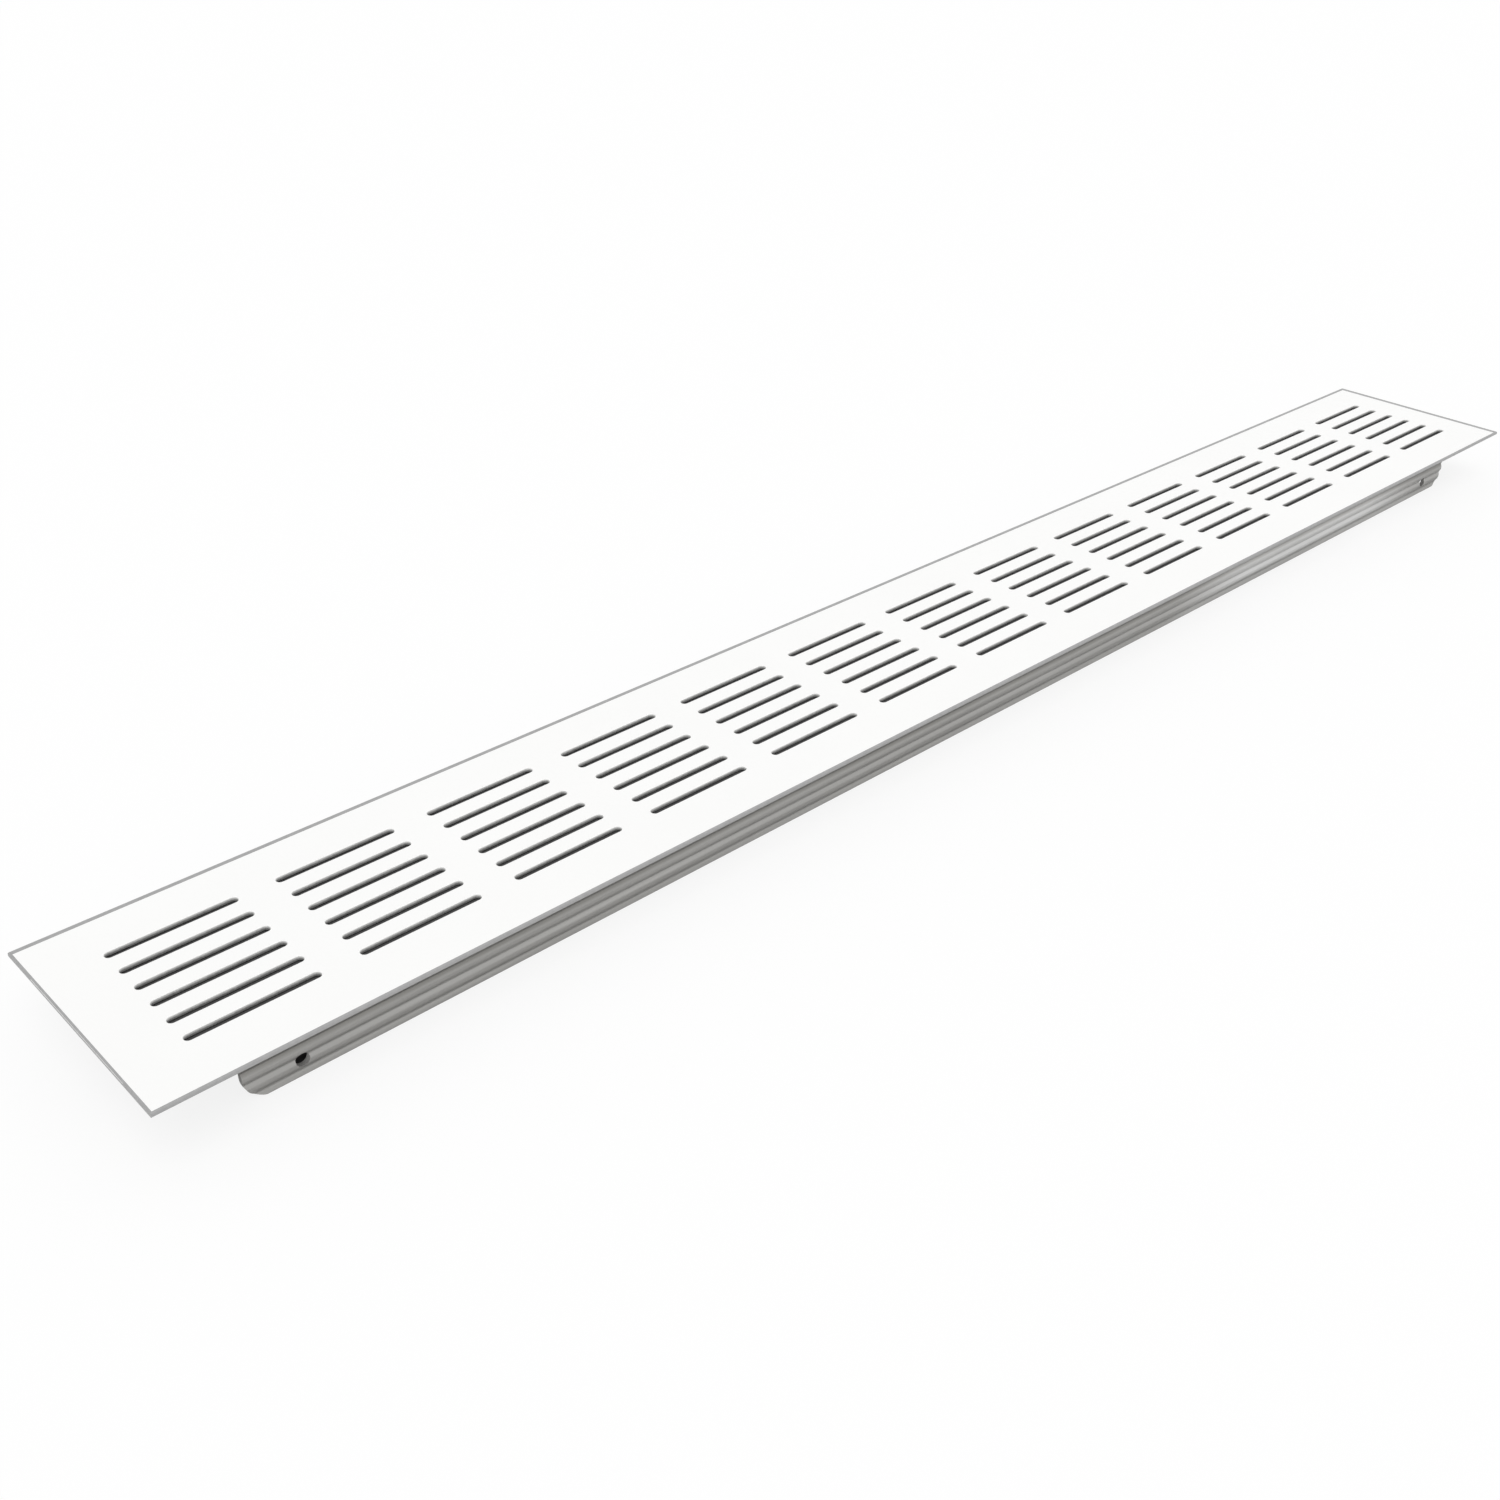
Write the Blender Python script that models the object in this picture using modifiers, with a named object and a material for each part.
"""Linear bar grille: one aluminium extrusion, slotted, drilled and notched at its ends.

The piece is a flat face plate that carries two flanges on its underside. The flanges go down into the
cut-out of a panel, and the plate's overhanging lip covers the edge of the cut-out. Rows of long
round-ended slots are punched through the plate, and the bars are the strips that stay between them.

Units are metres. X runs along the bars, Z is up, and the face plate is on top. The origin is the middle
of the plane that the two flanges stand on.
"""

import math

import bmesh
import bpy

NODE_NAME = "grille_profile"
PART_COLLECTION = "linear_bar_grille"
CUTTER_COLLECTION = "cutters"

# Face plate.
PLATE_LENGTH = 0.500
PLATE_WIDTH = 0.060
PLATE_THICKNESS = 0.001
LIP_TOP_RADIUS = 0.0004
LIP_BOTTOM_RADIUS = 0.0002

# Flanges, measured over their outer faces and down from the top of the plate.
OVERALL_DEPTH = 0.0165
WIDTH_OVER_FLANGES = 0.044
FLANGE_THICKNESS = 0.0013
FLANGE_SET_BACK = 0.020
FLANGE_CORNER_RADIUS = 0.006
FLANGE_EDGE_RADIUS = 0.0003
ROOT_FILLET_OUTSIDE = 0.0004
ROOT_FILLET_INSIDE = 0.0008
NOTCH_FILLET = 0.0015

# Grip grooves that run along the outer face of each flange.
GROOVE_COUNT = 3
GROOVE_PITCH = 0.003
GROOVE_WIDTH = 0.0021
GROOVE_DEPTH = 0.00045
LOWEST_GROOVE_HEIGHT = 0.0014

# Screw holes, drilled straight through both flanges near each end, through the middle groove's lower half.
SCREW_HOLE_DIAMETER = 0.003
SCREW_HOLE_FROM_FLANGE_END = 0.0125
SCREW_HOLE_BELOW_MIDDLE_GROOVE = 0.0006

# Slots punched through the plate.
SLOT_LENGTH = 0.0284
SLOT_WIDTH = 0.002
BAR_WIDTH = 0.00445
BRIDGE_LENGTH = 0.0087
SOLID_END_LENGTH = 0.013
SOLID_SIDE_WIDTH = 0.0025

# How far a cutter reaches past an open face, and past a face that the cut ends level with.
CUT_OVERSHOOT = 0.001
CUT_SKIM = 0.00002

# Straight pieces that stand for a quarter of each round.
EDGE_STEPS = 3
FILLET_STEPS = 3
CORNER_STEPS = 8
SLOT_END_STEPS = 4
SCREW_HOLE_SIDES = 24

WELD_DISTANCE = 0.000001

# Heights and places that follow from the sizes above.
PLATE_UNDERSIDE = OVERALL_DEPTH - PLATE_THICKNESS
FLANGE_OUTER_Y = WIDTH_OVER_FLANGES / 2
FLANGE_INNER_Y = FLANGE_OUTER_Y - FLANGE_THICKNESS
FLANGE_END_X = PLATE_LENGTH / 2 - FLANGE_SET_BACK
GROUP_PITCH = SLOT_LENGTH + BRIDGE_LENGTH
ROW_PITCH = SLOT_WIDTH + BAR_WIDTH
SCREW_HOLE_X = FLANGE_END_X - SCREW_HOLE_FROM_FLANGE_END
MIDDLE_GROOVE_HEIGHT = LOWEST_GROOVE_HEIGHT + (GROOVE_COUNT - 1) / 2 * GROOVE_PITCH
SCREW_HOLE_HEIGHT = MIDDLE_GROOVE_HEIGHT - SCREW_HOLE_BELOW_MIDDLE_GROOVE


def slot_groups():
    """How many slots, with a bridge between each two, fit along the plate between its solid ends."""
    room = PLATE_LENGTH - 2 * SOLID_END_LENGTH
    return int((room + BRIDGE_LENGTH) / GROUP_PITCH)


def slot_rows():
    """How many slots, with a bar between each two, fit across the plate between the two flanges."""
    room = 2 * (FLANGE_INNER_Y - SOLID_SIDE_WIDTH)
    return int((room + BAR_WIDTH) / ROW_PITCH)


def clear_scene():
    """Removes every object, so that the script can be run again in the same file."""
    for old in list(bpy.data.objects):
        bpy.data.objects.remove(old, do_unlink=True)


def new_collection(name):
    """Returns an empty collection of this name, linked to the scene."""
    collection = bpy.data.collections.get(name) or bpy.data.collections.new(name)
    if name not in bpy.context.scene.collection.children:
        bpy.context.scene.collection.children.link(collection)
    return collection


def arc(centre, radius, start_degrees, end_degrees, steps):
    """Points on a round from one angle to another, both ends included."""
    points = []
    for step in range(steps + 1):
        angle = math.radians(start_degrees + (end_degrees - start_degrees) * step / steps)
        points.append((centre[0] + radius * math.cos(angle), centre[1] + radius * math.sin(angle)))
    return points


def flange_grooves(outer_y):
    """Points of the V grooves down the outer face of a flange, the highest groove first."""
    points = []
    for index in reversed(range(GROOVE_COUNT)):
        height = LOWEST_GROOVE_HEIGHT + index * GROOVE_PITCH
        points.append((outer_y, height + GROOVE_WIDTH / 2))
        points.append((outer_y - GROOVE_DEPTH, height))
        points.append((outer_y, height - GROOVE_WIDTH / 2))
    return points


def half_section():
    """Outline of the extrusion's section at +Y, from its top edge round to the inside of the flange."""
    edge_y = PLATE_WIDTH / 2
    top = (edge_y - LIP_TOP_RADIUS, OVERALL_DEPTH - LIP_TOP_RADIUS)
    lip = (edge_y - LIP_BOTTOM_RADIUS, PLATE_UNDERSIDE + LIP_BOTTOM_RADIUS)
    root_out = (FLANGE_OUTER_Y + ROOT_FILLET_OUTSIDE, PLATE_UNDERSIDE - ROOT_FILLET_OUTSIDE)
    foot_out = (FLANGE_OUTER_Y - FLANGE_EDGE_RADIUS, FLANGE_EDGE_RADIUS)
    foot_in = (FLANGE_INNER_Y + FLANGE_EDGE_RADIUS, FLANGE_EDGE_RADIUS)
    root_in = (FLANGE_INNER_Y - ROOT_FILLET_INSIDE, PLATE_UNDERSIDE - ROOT_FILLET_INSIDE)
    points = arc(top, LIP_TOP_RADIUS, 90, 0, EDGE_STEPS)
    points += arc(lip, LIP_BOTTOM_RADIUS, 0, -90, EDGE_STEPS)
    points += arc(root_out, ROOT_FILLET_OUTSIDE, 90, 180, FILLET_STEPS)
    points += flange_grooves(FLANGE_OUTER_Y)
    points += arc(foot_out, FLANGE_EDGE_RADIUS, 0, -90, EDGE_STEPS)
    points += arc(foot_in, FLANGE_EDGE_RADIUS, -90, -180, EDGE_STEPS)
    points += arc(root_in, ROOT_FILLET_INSIDE, 0, 90, FILLET_STEPS)
    return points


def outline_solid(name, points, thickness, collection):
    """A solid made by extruding a flat closed outline equally to both sides of its plane."""
    curve = bpy.data.curves.new(name, "CURVE")
    curve.dimensions = "2D"
    curve.fill_mode = "BOTH"
    curve.extrude = thickness / 2
    spline = curve.splines.new("POLY")
    spline.points.add(len(points) - 1)
    for point, (x, y) in zip(spline.points, points):
        point.co = (x, y, 0, 1)
    spline.use_cyclic_u = True
    drawn = bpy.data.objects.new(name + "_outline", curve)
    collection.objects.link(drawn)
    bpy.context.view_layer.update()

    evaluated = drawn.evaluated_get(bpy.context.evaluated_depsgraph_get())
    mesh = bpy.data.meshes.new_from_object(evaluated)
    mesh.name = name
    weld_caps(mesh)
    solid = bpy.data.objects.new(name, mesh)
    solid.matrix_world = drawn.matrix_world
    collection.objects.link(solid)
    bpy.data.objects.remove(drawn, do_unlink=True)
    return solid


def weld_caps(mesh):
    """Joins the loose caps of an extruded outline to its walls."""
    shape = bmesh.new()
    shape.from_mesh(mesh)
    bmesh.ops.remove_doubles(shape, verts=shape.verts, dist=WELD_DISTANCE)
    bmesh.ops.recalc_face_normals(shape, faces=shape.faces)
    shape.to_mesh(mesh)
    shape.free()


def extruded_profile(collection):
    """The full-length extrusion, drawn as its section in the YZ plane and pulled out along X."""
    right = half_section()
    left = [(-y, z) for y, z in reversed(right)]
    profile = outline_solid(NODE_NAME, right + left, PLATE_LENGTH, collection)
    profile.rotation_euler = (math.radians(90), 0, math.radians(90))
    return profile


def as_cutter(solid):
    """Marks a solid as a tool that only shapes the part."""
    solid.hide_render = True
    solid.display_type = "WIRE"
    return solid


def repeat(solid, name, count, step):
    """Adds copies of a solid at an even step, as an array that keeps each copy apart."""
    array = solid.modifiers.new(name, "ARRAY")
    array.count = count
    array.use_relative_offset = False
    array.use_constant_offset = True
    array.constant_offset_displace = step


def slot_cutter(collection):
    """One round-ended slot punch, repeated along each row and across the rows."""
    end_radius = SLOT_WIDTH / 2
    end_x = SLOT_LENGTH / 2 - end_radius
    outline = arc((end_x, 0), end_radius, -90, 90, 2 * SLOT_END_STEPS)
    outline += arc((-end_x, 0), end_radius, 90, 270, 2 * SLOT_END_STEPS)
    punch = outline_solid("slot_cutter", outline, PLATE_THICKNESS + 2 * CUT_OVERSHOOT, collection)
    groups = slot_groups()
    rows = slot_rows()
    first_x = -(groups - 1) / 2 * GROUP_PITCH
    first_y = -(rows - 1) / 2 * ROW_PITCH
    punch.location = (first_x, first_y, OVERALL_DEPTH - PLATE_THICKNESS / 2)
    repeat(punch, "Along the row", groups, (GROUP_PITCH, 0, 0))
    repeat(punch, "Across the rows", rows, (0, ROW_PITCH, 0))
    return as_cutter(punch)


def screw_hole_cutter(collection):
    """A drill at each end that passes through both flanges."""
    bpy.ops.mesh.primitive_cylinder_add(
        vertices=SCREW_HOLE_SIDES,
        radius=SCREW_HOLE_DIAMETER / 2,
        depth=WIDTH_OVER_FLANGES + 2 * CUT_OVERSHOOT,
        location=(-SCREW_HOLE_X, 0, SCREW_HOLE_HEIGHT),
        rotation=(math.radians(90), 0, 0),
    )
    drill = bpy.context.object
    drill.name = "screw_hole_cutter"
    for owner in list(drill.users_collection):
        owner.objects.unlink(drill)
    collection.objects.link(drill)
    repeat(drill, "Both ends", 2, (2 * SCREW_HOLE_X, 0, 0))
    return as_cutter(drill)


def notch_cutter(collection):
    """The tool that trims one end of the flanges back from the end of the plate.

    Its outline lies in the XZ plane. It leaves a small fillet under the plate and a round lower corner on
    each flange.
    """
    outer_x = PLATE_LENGTH / 2 + CUT_OVERSHOOT
    ceiling = PLATE_UNDERSIDE + CUT_SKIM
    corner = (FLANGE_END_X - FLANGE_CORNER_RADIUS, FLANGE_CORNER_RADIUS - CUT_SKIM)
    fillet = (FLANGE_END_X + NOTCH_FILLET, ceiling - NOTCH_FILLET)
    outline = [(corner[0], -CUT_OVERSHOOT), (outer_x, -CUT_OVERSHOOT), (outer_x, ceiling)]
    outline += arc(fillet, NOTCH_FILLET, 90, 180, FILLET_STEPS)
    outline += arc(corner, FLANGE_CORNER_RADIUS, 0, -90, CORNER_STEPS)
    reach = WIDTH_OVER_FLANGES + 2 * (ROOT_FILLET_OUTSIDE + CUT_OVERSHOOT)
    notch = outline_solid("notch_cutter", outline, reach, collection)
    notch.rotation_euler = (math.radians(90), 0, 0)
    other_end = notch.modifiers.new("Other end", "MIRROR")
    other_end.use_axis = (True, False, False)
    other_end.merge_threshold = WELD_DISTANCE
    return as_cutter(notch)


def cut(profile, cutter):
    """Takes a cutter's shape out of the profile."""
    boolean = profile.modifiers.new("Cut by " + cutter.name, "BOOLEAN")
    boolean.operation = "DIFFERENCE"
    boolean.solver = "EXACT"
    boolean.object = cutter


def aluminium_with_white_coat():
    """Satin white coat on the aluminium extrusion."""
    material = bpy.data.materials.new("white_coated_aluminium")
    material.use_nodes = True
    shader = material.node_tree.nodes["Principled BSDF"]
    shader.inputs["Base Color"].default_value = (0.88, 0.88, 0.87, 1)
    shader.inputs["Roughness"].default_value = 0.4
    shader.inputs["Metallic"].default_value = 0.0
    return material


def build():
    """Makes the grille from its extrusion and the three kinds of cut."""
    clear_scene()
    parts = new_collection(PART_COLLECTION)
    cutters = new_collection(CUTTER_COLLECTION)
    profile = extruded_profile(parts)
    cut(profile, notch_cutter(cutters))
    cut(profile, screw_hole_cutter(cutters))
    cut(profile, slot_cutter(cutters))
    profile.data.materials.append(aluminium_with_white_coat())


build()
